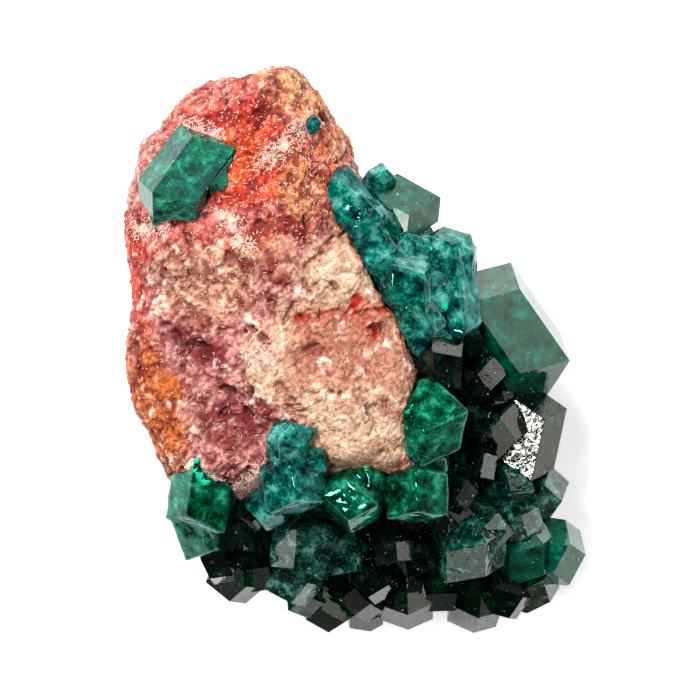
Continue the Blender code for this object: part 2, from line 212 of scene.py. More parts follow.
# %% Noise functions
def scatter_value(cell, seed):
    """A repeatable number from 0 to 1 for each whole-number cell, mixed by large odd factors."""
    value = cell[:, 0] * 73856093 ^ cell[:, 1] * 19349663 ^ cell[:, 2] * 83492791
    value = value ^ (seed + 1) * 50331653
    value = ((value ^ (value >> 13)) * 1274126177) & 0x7FFFFFFF
    value = ((value ^ (value >> 15)) * 668265263) & 0x7FFFFFFF
    return (value ^ (value >> 16)) % 65536 / 65536


def smooth_noise(points, size, seed):
    """From -1 to 1: random values on the corners of a grid, blended by the curve 3t^2 - 2t^3."""
    place = points / size
    cell = np.floor(place).astype(np.int64)
    part = place - cell
    part = part * part * (3 - 2 * part)
    total = np.zeros(len(points))
    for corner in np.ndindex(2, 2, 2):
        share = np.prod(np.where(corner, part, 1 - part), axis=1)
        total += share * scatter_value(cell + corner, seed)
    return 2 * total - 1


def layered_noise(points, size, seed, layers=4):
    """Smooth noise, then again at half the size and half the height, and so on."""
    return sum(smooth_noise(points, size / 2**i, seed + i) / 2**i for i in range(layers))


def cell_noise(points, size, seed):
    """Distances to the nearest and second nearest of scattered centres, one in each grid cell,
    and a random tone from 0 to 1 that all points nearest to the same centre share."""
    place = points / size
    cell = np.floor(place).astype(np.int64)
    nearest = np.full(len(points), 9.0)
    second = np.full(len(points), 9.0)
    tone = np.zeros(len(points))
    for offset in np.ndindex(3, 3, 3):
        home = cell + offset - 1
        centre = home + np.stack([scatter_value(home, seed + axis) for axis in range(3)], axis=1)
        apart = np.linalg.norm(place - centre, axis=1)
        second = np.minimum(second, np.maximum(nearest, apart))
        tone = np.where(apart < nearest, scatter_value(home, seed + 3), tone)
        nearest = np.minimum(nearest, apart)
    return nearest, second, tone


def warped(points, reach, size, seed, layers):
    """The points moved by up to about reach in each direction, which bends what is drawn on them."""
    moves = [layered_noise(points, size, seed + axis, layers) for axis in range(3)]
    return points + reach * np.stack(moves, axis=1)


def soft_step(value, low, high):
    """0 below low, 1 above high, and a smooth curve between."""
    t = np.clip((value - low) / (high - low), 0, 1)
    return t * t * (3 - 2 * t)


# %% [markdown]
# ## Mesh helpers
# A finer surface starts from a copy of a CAD node: its loose triangles are merged, and a voxel
# remesh gives it an even skin of small quads, which can then be moved point by point.

# %% Mesh helpers
def copy_of_node(node, name):
    """A copy of a CAD node's mesh with its loose triangles merged, as a new object."""
    obj = bpy.data.objects.new(name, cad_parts[node].data.copy())
    obj.data.materials.clear()
    bpy.context.scene.collection.objects.link(obj)
    bm = bmesh.new()
    bm.from_mesh(obj.data)
    bmesh.ops.remove_doubles(bm, verts=bm.verts, dist=0.002 * MM)
    bm.to_mesh(obj.data)
    bm.free()
    return obj


def bake(obj):
    """Replaces an object's mesh with the one its modifiers make."""
    graph = bpy.context.evaluated_depsgraph_get()
    mesh = bpy.data.meshes.new_from_object(obj.evaluated_get(graph))
    obj.modifiers.clear()
    obj.data = mesh


def points_of(mesh):
    """A mesh's points in millimetres, one row each."""
    flat = np.empty(len(mesh.vertices) * 3, np.float32)
    mesh.vertices.foreach_get("co", flat)
    return flat.reshape(-1, 3).astype(float) / MM


def normals_of(mesh):
    """The direction the surface faces at each of a mesh's points, one row each."""
    flat = np.empty(len(mesh.vertices) * 3, np.float32)
    mesh.vertex_normals.foreach_get("vector", flat)
    return flat.reshape(-1, 3).astype(float)


def set_points(mesh, points):
    """Puts a mesh's points at those places in millimetres."""
    mesh.vertices.foreach_set("co", (points * MM).astype(np.float32).ravel())
    mesh.update()


def set_colour(mesh, name, colours):
    """Stores one linear colour for each point, which materials read by its name."""
    layer = mesh.color_attributes.new(name, "FLOAT_COLOR", "POINT")
    rgba = np.ones((len(colours), 4), np.float32)
    rgba[:, :3] = colours
    layer.data.foreach_set("color", rgba.ravel())


def add_skin(obj, spacing):
    """Covers an object with an even skin of quads, spacing millimetres wide."""
    remesh = obj.modifiers.new("skin", "REMESH")
    remesh.mode = "VOXEL"
    remesh.voxel_size = spacing * MM


def finish_piece(obj, material, nodes=()):
    """Gives a piece its material, hangs it on the frame's root and hides the CAD nodes it stands for.
    """
    obj.data.materials.clear()
    obj.data.materials.append(material)
    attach(obj, "root")
    if nodes:
        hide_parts(*nodes)
    print(obj.name, len(obj.data.polygons), "faces")


# %% [markdown]
# ## Stain map of the rock, with painted shade
# Iron has stained the rock in zones: orange-red over the top, tan at the peak and along its right
# flank, mauve in the middle, ochre down the left edge, and a cream slab that is almost clean.
# Each zone is a patch, which is an ellipse or an outline whose border is bent by noise, and the
# zones are laid over each other like washes of colour. Painted shade then darkens the hollows
# between grains, the pits and the cracks.

# %% Stain functions
def patch(points, x, y, long, wide, turn=0.0, soft=0.35):
    """1 inside an ellipse with those half-lengths and turn, falling to 0 over the soft share."""
    t = math.radians(turn)
    dx, dy = points[:, 0] - x, points[:, 1] - y
    along = (dx * math.cos(t) + dy * math.sin(t)) / long
    across = (dy * math.cos(t) - dx * math.sin(t)) / wide
    return 1 - soft_step(np.hypot(along, across), 1 - soft, 1 + soft)


def streak(points, route, width):
    """1 on a line through the route's points, falling to 0 at the width on either side."""
    route = np.array(route, float)
    nearest = np.full(len(points), 99.0)
    for start, end in zip(route[:-1], route[1:]):
        run = end - start
        t = np.clip((points[:, :2] - start) @ run / (run @ run), 0, 1)
        apart = np.linalg.norm(points[:, :2] - start - t[:, None] * run, axis=1)
        nearest = np.minimum(nearest, apart)
    return 1 - soft_step(nearest, 0.3 * width, width)


def area(points, outline, soft=0.8):
    """1 inside an outline, falling to 0 over the soft distance around its edge."""
    corners = np.array(outline, float)
    inside = np.zeros(len(points), bool)
    x, y = points[:, 0], points[:, 1]
    for (x0, y0), (x1, y1) in zip(corners, np.roll(corners, -1, axis=0)):
        crosses = (y0 > y) != (y1 > y)
        inside ^= crosses & (x < (x1 - x0) * (y - y0) / (y1 - y0 + 1e-12) + x0)
    edge = np.vstack([corners, corners[:1]])
    near_edge = streak(points, edge, 2 * soft) * 0.5
    return np.where(inside, 1 - near_edge, near_edge)


# %% Zones of the rock, in millimetres
HEMATITE_ZONE = (
    (-16.6, 11.9), (-15.4, 17.2), (-12.9, 21.1), (-7.6, 22.1), (-4.3, 20.5), (-3.4, 18.4), (-1.7, 14.7),
    (-2.5, 11.9), (-5.2, 10.0), (-9.2, 10.5), (-12.5, 9.4), (-16.6, 8.6), (-18.7, 9.0),
)
PEAK_ZONE = ((-7.4, 23.5), (-3.3, 23.8), (-2.4, 19.8), (-4.3, 18.8), (-7.0, 20.0))
FLANK_ZONE = ((-3.5, 21.3), (-0.7, 21.5), (1.2, 14.9), (-1.9, 14.4), (-2.9, 18.0))
CREAM_ZONE = (
    (-0.6, 9.9), (-2.5, 8.4), (-4.2, 6.7), (-3.9, 4.9), (-5.9, 1.8), (-7.4, -0.1), (-8.7, -1.7),
    (-9.2, -3.2), (-7.2, -4.3), (-4.6, -5.2), (-3.5, -6.8), (-2.9, -8.9), (-1.9, -10.8), (2.6, -10.6),
    (5.3, -9.0), (5.8, -4.0), (6.2, -0.8), (5.4, 1.7), (4.0, 4.1), (1.8, 7.2),
)
SLAB_EDGE = (
    (-0.6, 9.7), (-2.5, 8.4), (-4.2, 6.7), (-3.9, 4.9), (-5.9, 1.8), (-7.4, -0.1), (-8.7, -1.7),
)
LOWER_CRACK = ((-8.7, -1.7), (-9.2, -3.4), (-7.2, -4.3), (-4.6, -5.2), (-3.5, -6.8))
RED_RIM = ((-0.3, 9.7), (0.6, 7.8), (1.8, 5.4), (3.4, 3.3), (4.8, 0.0))
RED_VEINS = (
    ((-4.3, 2.3), (-2.2, 2.7), (-0.3, 3.1), (1.0, 2.9)),
    ((-0.3, 3.1), (0.3, 4.1)),
    ((1.0, 2.9), (1.3, 1.2)),
    ((1.9, 3.1), (3.2, 3.8)),
)
MAROON_RUNS = (
    ((-7.4, 9.4), (-4.3, 8.4), (-2.7, 9.7)),
    ((-9.2, 7.8), (-7.4, 6.6), (-5.2, 7.2), (-3.9, 9.0)),
    ((-13.3, 1.7), (-12.1, 0.0), (-10.5, -0.9), (-8.4, -0.1)),
    ((-12.5, -4.0), (-10.5, -5.3), (-8.0, -5.3)),
    ((-9.9, -7.3), (-8.3, -6.3), (-6.4, -5.5)),
)
FROST_RUNS = (
    ((-7.4, 15.2), (-6.0, 16.2), (-4.3, 17.9)),
    ((-13.3, 18.2), (-11.3, 17.4)),
    ((-9.3, 9.0), (-8.4, 8.2)),
    ((-10.4, 10.6), (-9.4, 10.0)),
    ((-8.4, -0.4), (-7.2, 0.0)),
    ((-12.8, -10.2), (-9.6, -11.6), (-7.6, -9.9)),
    ((-17.6, 9.8), (-15.2, 10.4)),
)

# Patches: centre x and y, half-length, half-width and turn in degrees
SAND_PATCH = (-12.0, 5.6, 4.0, 3.4)
OCHRE_PATCH = (-16.0, -4.5, 6.0, 2.2, 108)
LEFT_RED_PATCH = (-17.6, 6.0, 5.0, 1.2, 95)
TAN_PATCH = (-4.4, 12.2, 2.6, 3.6)
LUMP_PATCH = (-8.6, 8.4, 2.3, 1.8)
LUMP_FOOT_PATCH = (-8.2, 7.4, 2.0, 1.0)
PINK_PATCH = (-0.8, 0.2, 5.2, 3.4, 20)
PINK_EDGE_PATCH = (3.6, -2.6, 2.2, 2.6)

# Colours of the stain, as rgb rows
HEMATITE_RED = np.array(linear("#C43210")[:3])
HEMATITE_ORANGE = np.array(linear("#DC6230")[:3])
TAN = np.array(linear("#D6A070")[:3])
MAUVE = np.array(linear("#D0948A")[:3])
SAND = np.array(linear("#CFA284")[:3])
CREAM = np.array(linear("#DEBA9E")[:3])
CREAM_PINK = np.array(linear("#B87A64")[:3])
OCHRE = np.array(linear("#C86A20")[:3])
MAROON = np.array(linear("#7C1E28")[:3])
VEIN_RED = np.array(linear("#B8321A")[:3])
WHITE = np.array(linear("#F0E4D8")[:3])

VEIN_WANDER = (0.45, 1.5, 83, 3)  # reach, size, seed and layers of the veins' bends


def wash(colours, mask, colour):
    """Lays a colour over the others, as thick as the mask says."""
    return colours + mask[:, None] * (colour - colours)


def stain_and_shade_colours(points, cavity, tone):
    """The rock's colour at each point, with painted shade in its hollows. cavity is 0 on tops and 1
    deep between grains; tone is each grain's own shade, from 0 for dark and rusty to 1 for pale."""
    bend = np.stack([layered_noise(points, 3.0, 11), layered_noise(points, 3.0, 23)], axis=1) * 1.1
    place = points.copy()
    place[:, :2] += bend
    mottle = layered_noise(points, 4.0, 31)
    fine = layered_noise(points, 1.1, 37)

    # The mauve ground, sandy and maroon in places, and the ochre and red of the left edge
    colours = np.tile(MAUVE, (len(points), 1))
    colours = wash(colours, 0.75 * patch(place, *SAND_PATCH), SAND)
    colours = wash(colours, 0.6 * soft_step(mottle, 0.0, 0.8), SAND)
    colours = wash(colours, 0.4 * soft_step(-mottle, 0.3, 1.0), MAROON * 0.55 + MAUVE * 0.45)
    colours = wash(colours, 0.85 * patch(place, *OCHRE_PATCH), OCHRE)
    colours = wash(colours, 0.7 * patch(place, *LEFT_RED_PATCH), HEMATITE_RED)

    # The orange-red top, with its tan parts and the round lump below it
    hematite = area(place, HEMATITE_ZONE, 0.9)
    colours = wash(colours, 0.9 * hematite, HEMATITE_RED)
    colours = wash(colours, hematite * soft_step(mottle, -0.1, 0.7), HEMATITE_ORANGE)
    colours = wash(colours, 0.85 * patch(place, *TAN_PATCH), TAN * 0.75 + HEMATITE_ORANGE * 0.25)
    colours = wash(colours, 0.95 * area(place, PEAK_ZONE, 0.7), TAN)
    colours = wash(colours, 0.7 * area(place, FLANK_ZONE, 0.7), 0.6 * TAN + 0.4 * HEMATITE_RED)
    colours = wash(colours, 0.85 * patch(place, *LUMP_PATCH), 0.6 * HEMATITE_ORANGE + 0.4 * SAND)
    colours = wash(colours, 0.8 * patch(place, *LUMP_FOOT_PATCH), SAND)

    # The cream slab, pink in its middle and towards its right edge
    cream = area(place, CREAM_ZONE, 0.5)
    colours = wash(colours, cream, CREAM)
    colours = wash(colours, cream * 0.85 * patch(place, *PINK_PATCH), CREAM_PINK)
    colours = wash(colours, cream * 0.6 * patch(place, *PINK_EDGE_PATCH), CREAM_PINK)
    colours = wash(colours, cream * 0.55 * soft_step(fine, 0.1, 0.8), CREAM_PINK)

    # Maroon runs, red veins and the red rim of the slab
    for route in MAROON_RUNS:
        colours = wash(colours, 0.8 * streak(place, route, 1.5) * soft_step(fine, -0.7, 0.5), MAROON)
    wander = warped(points, *VEIN_WANDER)
    patchy = soft_step(layered_noise(points, 1.3, 97), -0.55, 0.15)
    for route in RED_VEINS:
        colours = wash(colours, 0.95 * streak(wander, route, 0.5) * patchy, VEIN_RED)
        colours = wash(colours, 0.25 * streak(wander, route, 1.0), VEIN_RED)
    colours = wash(colours, 0.85 * streak(wander, RED_RIM, 0.7) * patchy, HEMATITE_RED)

    # Each grain's own shade, painted shade in the hollows, pits and cracks, the frosted runs and the
    # dusty sides
    colours = wash(colours, (0.55 - 0.4 * hematite) * soft_step(tone, 0.66, 0.86), WHITE)
    rust = 0.5 * MAROON + 0.5 * HEMATITE_RED
    colours = wash(colours, (0.5 - 0.25 * cream) * soft_step(-tone, -0.42, -0.2), rust)
    colours = colours * (0.62 + 0.64 * tone - 0.06 * cream)[:, None]
    # Painted shade: the deeper a point lies between grains, in a pit or in a crack, the more it is
    # darkened towards maroon
    deep = MAROON * 0.75 + 0.02
    colours = wash(colours, (0.75 - 0.35 * cream) * soft_step(cavity, 0.45, 1.0), deep)
    frost = np.zeros(len(points))
    for route in FROST_RUNS:
        frost = np.maximum(frost, streak(place, route, 0.7))
    colours = wash(colours, 0.6 * frost * soft_step(fine, -0.3, 0.4), WHITE)
    side = 1 - soft_step(points[:, 2], 4, 11)
    return wash(colours, 0.35 * side, MAUVE)


# %% [markdown]
# ## Matrix rock
# The rock is sugary: grains of quartz and feldspar a third of a millimetre to a millimetre wide,
# with pits where grains fell out. A bump map alone would leave its outline smooth, so the skin of
# the CAD rock is moved by real amounts: lumps, then grains from cell noise, then pits.

# %% Rock relief
ROCK_SKIN = 0.32  # width of the skin's quads
FRONT_LEVEL = 11  # the front above this height gets quads half as wide
LUMP_HEIGHT = 0.28
CLAST_HEIGHT = 0.16
GRAIN_HEIGHT = 0.17
CRUMB_HEIGHT = 0.12
PIT_DEPTH = 0.6
CRACK_DEPTH = 0.35
CRACKED_LEVEL = 14  # the slab's cracks are only above this height
VEIN_DEPTH = 0.2
CLAST_SIZE = 2.3
GRAIN_SIZE = 0.75
CRUMB_SIZE = 0.42


def rock_relief(points):
    """For each point, the height added to the skin, how deep it lies between grains and the
    shade of its grain, all by place."""
    bent = warped(points, 0.45, 1.0, 51, 2)
    lumps = layered_noise(points, 3.4, 41, 3)
    near_clast, second_clast, clast_tone = cell_noise(bent, CLAST_SIZE, 57)
    near, second, grain_tone = cell_noise(bent, GRAIN_SIZE, 43)
    clast = soft_step(second_clast - near_clast, 0.0, 0.35)
    grain = soft_step(second - near, 0.0, 0.5)
    crumb = 0.5 + 0.5 * layered_noise(points, CRUMB_SIZE, 47, 2)
    pit = soft_step(layered_noise(bent, 1.7, 53, 3), 0.55, 1.05)
    cream = area(points, CREAM_ZONE, 0.5)
    calm = 1 - 0.45 * cream
    height = LUMP_HEIGHT * lumps + CLAST_HEIGHT * (clast - 0.7) + GRAIN_HEIGHT * (grain - 0.6)
    height *= calm
    height += CRUMB_HEIGHT * (crumb - 0.5) - PIT_DEPTH * pit
    wander = warped(points, *VEIN_WANDER)
    broken = soft_step(smooth_noise(points, 1.6, 89), -0.5, 0.2)
    crack = np.maximum(streak(wander, SLAB_EDGE, 0.32), 0.8 * streak(wander, LOWER_CRACK, 0.32))
    crack = crack * broken
    height -= CRACK_DEPTH * crack * (points[:, 2] > CRACKED_LEVEL)
    for route in RED_VEINS:
        height -= VEIN_DEPTH * streak(wander, route, 0.4)
    groove = 0.30 * (1 - clast) + 0.40 * (1 - grain) + 0.50 * (1 - crumb)
    cavity = np.clip(groove * calm + 0.9 * pit + 0.6 * crack, 0, 1)
    return height, cavity, 0.5 * grain_tone + 0.2 * clast_tone + 0.3 * crumb


def finer_front(obj):
    """Halves the quads of the front, and leaves the back and the undercut sides coarse."""
    bm = bmesh.new()
    bm.from_mesh(obj.data)
    front = [f for f in bm.faces if f.normal.z > 0.05 and f.calc_center_median().z > FRONT_LEVEL * MM]
    edges = list({edge for face in front for edge in face.edges})
    bmesh.ops.subdivide_edges(bm, edges=edges, cuts=1, use_grid_fill=True)
    bmesh.ops.triangulate(bm, faces=[f for f in bm.faces if len(f.verts) > 4])
    bm.to_mesh(obj.data)
    bm.free()


rock = copy_of_node("matrix", "granular_rock")
add_skin(rock, ROCK_SKIN)
bake(rock)
finer_front(rock)
rock_points = points_of(rock.data)
rock_normals = normals_of(rock.data)
rock_height, rock_cavity, rock_tone = rock_relief(rock_points)
flat_back = soft_step(rock_points[:, 2], 0.2, 1.2)
rock_surface = rock_points + rock_normals * (rock_height * flat_back)[:, None]
set_points(rock.data, rock_surface)
rock_colours = stain_and_shade_colours(rock_points, rock_cavity, rock_tone)
set_colour(rock.data, "stain_and_shade", rock_colours)
relief_range = rock_height.min().round(2), rock_height.max().round(2)
print("rock points", len(rock_points), "relief in mm", relief_range)


# %% Rock material: feldspar and quartz grains stained by hematite, broken by hand
def rock_material():
    """Weathered granular rock: dull, with bright specks painted into its colour as highlights of glassy
    grain faces.
    """
    material, tree, surface, place = new_material("hematite_stained_granular_rock")
    stain_and_shade = add(tree, "ShaderNodeAttribute", attribute_name="stain_and_shade").outputs["Color"]
    # Painted highlights: the speckle lifts some specks above the stain colour as glints of grain faces,
    # and darkens others as darker grains
    tone_and_glint_specks = noise(tree, place, 0.35, Detail=4.0, Roughness=0.7)
    shade = ramp(tree, tone_and_glint_specks, [(0.32, 0.42), (0.50, 0.95), (0.66, 1.4)])
    tree.links.new(mixed(tree, 1.0, stain_and_shade, shade, "MULTIPLY"), surface.inputs["Base Color"])
    grit = noise(tree, place, 0.22, Detail=3.0, Roughness=0.6)
    bump = add(tree, "ShaderNodeBump", {"Strength": 1.0, "Distance": 0.10 * MM}, {"Height": grit})
    tree.links.new(bump.outputs["Normal"], surface.inputs["Normal"])
    surface.inputs["Roughness"].default_value = 0.6
    surface.inputs["Specular IOR Level"].default_value = 0.2
    return material


granular_rock = rock_material()
finish_piece(rock, granular_rock, ["matrix"])


# %% [markdown]
# ## Crystals
# Dioptase grows as six-sided prisms with three-faced ends. The CAD crystals already have those
# faces, but stand 0.3 mm apart, because solids may not touch. Here each group is a copy whose
# faces move out until neighbours meet, and whose edges get a fine bevel that catches the light.

# %% Sharp crystal groups
GROWTH = 0.14  # how far each face moves out, just under half the CAD gap
LONGEST_STEP = 0.26  # slivers between almost parallel faces would otherwise fly off
EDGE_BEVEL = 0.05


def faces_moved_out(obj, grow):
    """Moves every face of a faceted mesh outwards by grow.

    A point that lies on faces with normals n moves by the d that solves n . d = grow for
    all of them, in the least squares sense.
    """
    bm = bmesh.new()
    bm.from_mesh(obj.data)
    bmesh.ops.dissolve_limit(bm, angle_limit=0.01, verts=bm.verts, edges=bm.edges)
    bm.to_mesh(obj.data)
    bm.free()
    mesh = obj.data
    corner_points = np.empty(len(mesh.loops), np.int32)
    mesh.loops.foreach_get("vertex_index", corner_points)
    sides = np.empty(len(mesh.polygons), np.int32)
    mesh.polygons.foreach_get("loop_total", sides)
    facing = np.empty(len(mesh.polygons) * 3, np.float32)
    mesh.polygons.foreach_get("normal", facing)
    corner_normals = np.repeat(facing.reshape(-1, 3).astype(float), sides, axis=0)
    matrix = np.tile(np.eye(3) * 0.02, (len(mesh.vertices), 1, 1))
    np.add.at(matrix, corner_points, corner_normals[:, :, None] * corner_normals[:, None, :])
    target = np.zeros((len(mesh.vertices), 3))
    np.add.at(target, corner_points, corner_normals * grow)
    step = np.linalg.solve(matrix, target[:, :, None])[:, :, 0]
    reach = np.linalg.norm(step, axis=1, keepdims=True)
    step *= np.minimum(1, LONGEST_STEP / np.maximum(reach, 1e-6))
    set_points(mesh, points_of(mesh) + step)


def sharp_crystals(node, name):
    """A copy of a crystal group with its faces grown and its edges bevelled."""
    obj = copy_of_node(node, name)
    faces_moved_out(obj, GROWTH)
    bevel = obj.modifiers.new("worn_edges", "BEVEL")
    bevel.width = EDGE_BEVEL * MM
    bevel.segments = 1
    bevel.limit_method = "ANGLE"
    bevel.angle_limit = math.radians(20)
    bake(obj)
    return obj


# %% Dioptase: a copper silicate, index 1.67, natural crystal faces
DIOPTASE_INDEX = 1.67
LIGHT_LEFT = (0.0, 0.83, 0.76, 1.0)  # what the crystal lets through: no red, most green and blue
TONE_PLACES = (0.36, 0.46, 0.55, 0.65)
THREAD_STOPS = ((0.488, 0.0), (0.5, 0.7), (0.512, 0.0))
WARM_SHINE = (1.0, 1.0, 0.9, 1.0)  # clear faces look a little olive
GREEN_SHINE = (0.35, 1.0, 0.92, 1.0)  # a veiled face mirrors little but its own colour
ETCH_SIZE = 0.27


def dioptase_material(name, face_roughness, milk, ripple, density, tones,
                      shine=WARM_SHINE, etched=False):
    """Glassy crystal: it takes red and some blue out of the light with depth, so thin parts are
    bright green and thick parts nearly black. milk is the share of light turned back by fine
    healed cracks, which have the tones from the darkest to the brightest."""
    material, tree, surface, place = new_material(name)
    surface.inputs["IOR"].default_value = DIOPTASE_INDEX
    surface.inputs["Roughness"].default_value = face_roughness
    surface.inputs["Transmission Weight"].default_value = 1.0 - milk
    surface.inputs["Specular Tint"].default_value = shine
    cloud = noise(tree, place, 1.3, Detail=6.0, Roughness=0.7)
    body = ramp(tree, cloud, list(zip(TONE_PLACES, (linear(tone) for tone in tones))))
    thread = noise(tree, place, 0.9, Detail=2.0, Distortion=0.6)
    scratch = ramp(tree, thread, THREAD_STOPS)
    tree.links.new(mixed(tree, scratch, body, linear(tones[-1])), surface.inputs["Base Color"])
    if etched:
        relief = add(tree, "ShaderNodeTexVoronoi", {"Scale": 1 / (ETCH_SIZE * MM)}, {"Vector": place},
                     feature="DISTANCE_TO_EDGE").outputs["Distance"]
    else:
        relief = noise(tree, place, 1.6, Detail=3.0)
    bump = add(tree, "ShaderNodeBump", {"Strength": 1.0, "Distance": ripple * MM}, {"Height": relief})
    tree.links.new(bump.outputs["Normal"], surface.inputs["Normal"])
    absorb = add(tree, "ShaderNodeVolumeAbsorption", {"Color": LIGHT_LEFT, "Density": density})
    tree.links.new(absorb.outputs["Volume"], tree.nodes["Material Output"].inputs["Volume"])
    return material


# Tones of the healed cracks, from the darkest to the brightest
CLEAR_TONES = ("#00302C", "#005048", "#00806C", "#A0F0E0")
HAZY_TONES = ("#003C30", "#00604A", "#006E5A", "#189A84")
SMOKY_TONES = ("#000A08", "#00403A", "#1C8272", "#B0F4E8")
GREEN_TONES = ("#00140E", "#00583E", "#00986C", "#60F0CC")
TEAL_TONES = ("#000C12", "#005A58", "#00AC9C", "#B0FFF8")

# Roughness, milk, height of the ripples in mm, density of the colour per metre, tones
clear_dioptase = dioptase_material("clear_dioptase_crystal", 0.04, 0.03, 0.06, 3800.0, CLEAR_TONES)
etched_dioptase = dioptase_material(
    "etched_dioptase_crystal", 0.08, 0.03, 0.022, 5200.0, CLEAR_TONES, etched=True)
hazy_dioptase = dioptase_material("hazy_dioptase_crystal", 0.10, 0.5, 0.05, 2400.0, HAZY_TONES)
frosted_dioptase = dioptase_material(
    "frosted_dioptase_crystal", 0.28, 0.5, 0.05, 2400.0, HAZY_TONES)
smoky_dioptase = dioptase_material(
    "cracked_clear_dioptase_crystal", 0.05, 0.3, 0.08, 2600.0, SMOKY_TONES)
green_dioptase = dioptase_material(
    "green_veiled_dioptase_crystal", 0.06, 0.28, 0.08, 1500.0, GREEN_TONES, GREEN_SHINE)
teal_dioptase = dioptase_material(
    "teal_veiled_dioptase_crystal", 0.06, 0.30, 0.08, 1300.0, TEAL_TONES, GREEN_SHINE)

# %% The sharp groups and what their bodies are like; the rest of them are clear
BODY_OF = {
    "upper_left_crystal": green_dioptase, "large_right_crystal": hazy_dioptase,
    "grey_faced_crystal": frosted_dioptase, "right_tip_crystals": hazy_dioptase,
    "right_edge_crystal": etched_dioptase, "glassy_lower_crystal": smoky_dioptase,
    "lower_middle_crystals": smoky_dioptase, "lower_right_edge_crystals": smoky_dioptase,
}
SHARP_GROUPS = (
    "upper_left_crystal", "large_right_crystal", "glassy_lower_crystal", "middle_right_crystals",
    "slate_crystals", "right_edge_crystal", "lower_right_edge_crystals", "small_inner_crystals",
    "right_tip_crystals", "bottom_right_crystals", "bottom_middle_crystals",
    "bottom_point_crystals", "lower_middle_crystals", "lower_left_cluster", "right_druse",
    "upper_right_druse", "corner_druse", "bottom_druse", "grey_faced_crystal",
)
crystal_surfaces = {}
for node in SHARP_GROUPS:
    crystals = sharp_crystals(node, node + "_faces")
    finish_piece(crystals, BODY_OF.get(node, clear_dioptase), [node])
    crystal_surfaces[node] = crystals

# %% [markdown]
# ## Veiled crystals
# Other dioptase crystals are full of healed cracks that turn the light back: under a glassy face lies
# a teal cloud, bright where it comes near the face and dark where it is deep. So these groups are
# a clear shell, with rounder edges, round a rough core that lies a little under the faces.

# %% Veil cores and shells
TEAL_GROUPS = (
    "teal_stack", "upper_right_crystals", "teal_ridge", "tall_ridge_crystals", "tiny_top_crystal",
)
VEIL_SKIN = 0.2
VEIL_STEPS = 4
VEIL_STEP_DEPTH = 0.05  # the core shrinks by this at each step, with smoothing between
VEIL_RELIEF = 0.45
SHELL_SKIN = 0.16
SHELL_ROUNDING = 7  # times the shell's points are drawn to their neighbours' middle
SHELL_RELIEF = 0.07

VEILED_GROUPS = (
    "big_green_crystal", "front_rim_hexagonal_crystal", "front_rim_crystal", "lower_left_crystal",
    "teal_stack", "upper_right_crystals", "teal_ridge", "tall_ridge_crystals", "tiny_top_crystal",
)


def veil_core(node, name):
    """A shrunken copy of a crystal group, whose skin sinks further by an uneven amount."""
    obj = copy_of_node(node, name)
    add_skin(obj, VEIL_SKIN)
    for step in range(VEIL_STEPS):
        smooth = obj.modifiers.new("smooth", "SMOOTH")
        smooth.iterations = 2
        inward = obj.modifiers.new("inward", "DISPLACE")
        inward.strength = -VEIL_STEP_DEPTH * MM
        inward.mid_level = 0.0
    bake(obj)
    points = points_of(obj.data)
    sink = VEIL_RELIEF * soft_step(layered_noise(points, 1.8, 71, 4), -0.5, 1.0)
    set_points(obj.data, points - normals_of(obj.data) * sink[:, None])
    return obj


def veil_material():
    """Healed cracks in dioptase: dense white-green clouds."""
    material, tree, surface, place = new_material("healed_cracks_in_dioptase")
    cloud = noise(tree, place, 1.0, Detail=6.0, Roughness=0.7)
    stops = [(0.34, linear("#00302A")), (0.45, linear("#009A74")), (0.56, linear("#00D0A4")),
             (0.68, linear("#90FFE8"))]
    tree.links.new(ramp(tree, cloud, stops), surface.inputs["Base Color"])
    surface.inputs["Roughness"].default_value = 0.7
    return material


def rounded_shell(node, name):
    """The clear outside of a veiled group: an even skin, rounded at the edges by smoothing."""
    obj = copy_of_node(node, name)
    faces_moved_out(obj, GROWTH)
    add_skin(obj, SHELL_SKIN)
    smooth = obj.modifiers.new("round", "SMOOTH")
    smooth.factor = 0.5
    smooth.iterations = SHELL_ROUNDING
    bake(obj)
    points = points_of(obj.data)
    height = SHELL_RELIEF * layered_noise(points, 1.6, 67, 3)
    set_points(obj.data, points + normals_of(obj.data) * height[:, None])
    obj.data.shade_smooth()
    return obj


veil = veil_material()
for node in VEILED_GROUPS:
    shell = rounded_shell(node, node + "_faces")
    body = teal_dioptase if node in TEAL_GROUPS else green_dioptase
    finish_piece(shell, body, [node])
    crystal_surfaces[node] = shell
    if node != "tiny_top_crystal":
        finish_piece(veil_core(node, node + "_veils"), veil)

# %% [markdown]
# ## Needles, flakes and painted glints
# White needles of quartz lie on the rock. Pale flakes lie just under the crystal faces: healed
# cracks, and painted sparkles too. Small white specks on the faces are painted glints. One small
# bar with six faces is repeated and joined into one mesh for each of them.

# %% Bars on and in a surface
HALVES = (-0.5, 0.5)
BAR_CORNERS = np.array([(x, y, z) for x in HALVES for y in HALVES for z in HALVES])
BAR_FACES = np.array([
    (0, 1, 3, 2), (4, 6, 7, 5), (0, 4, 5, 1), (2, 3, 7, 6), (0, 2, 6, 4), (1, 5, 7, 3),
])


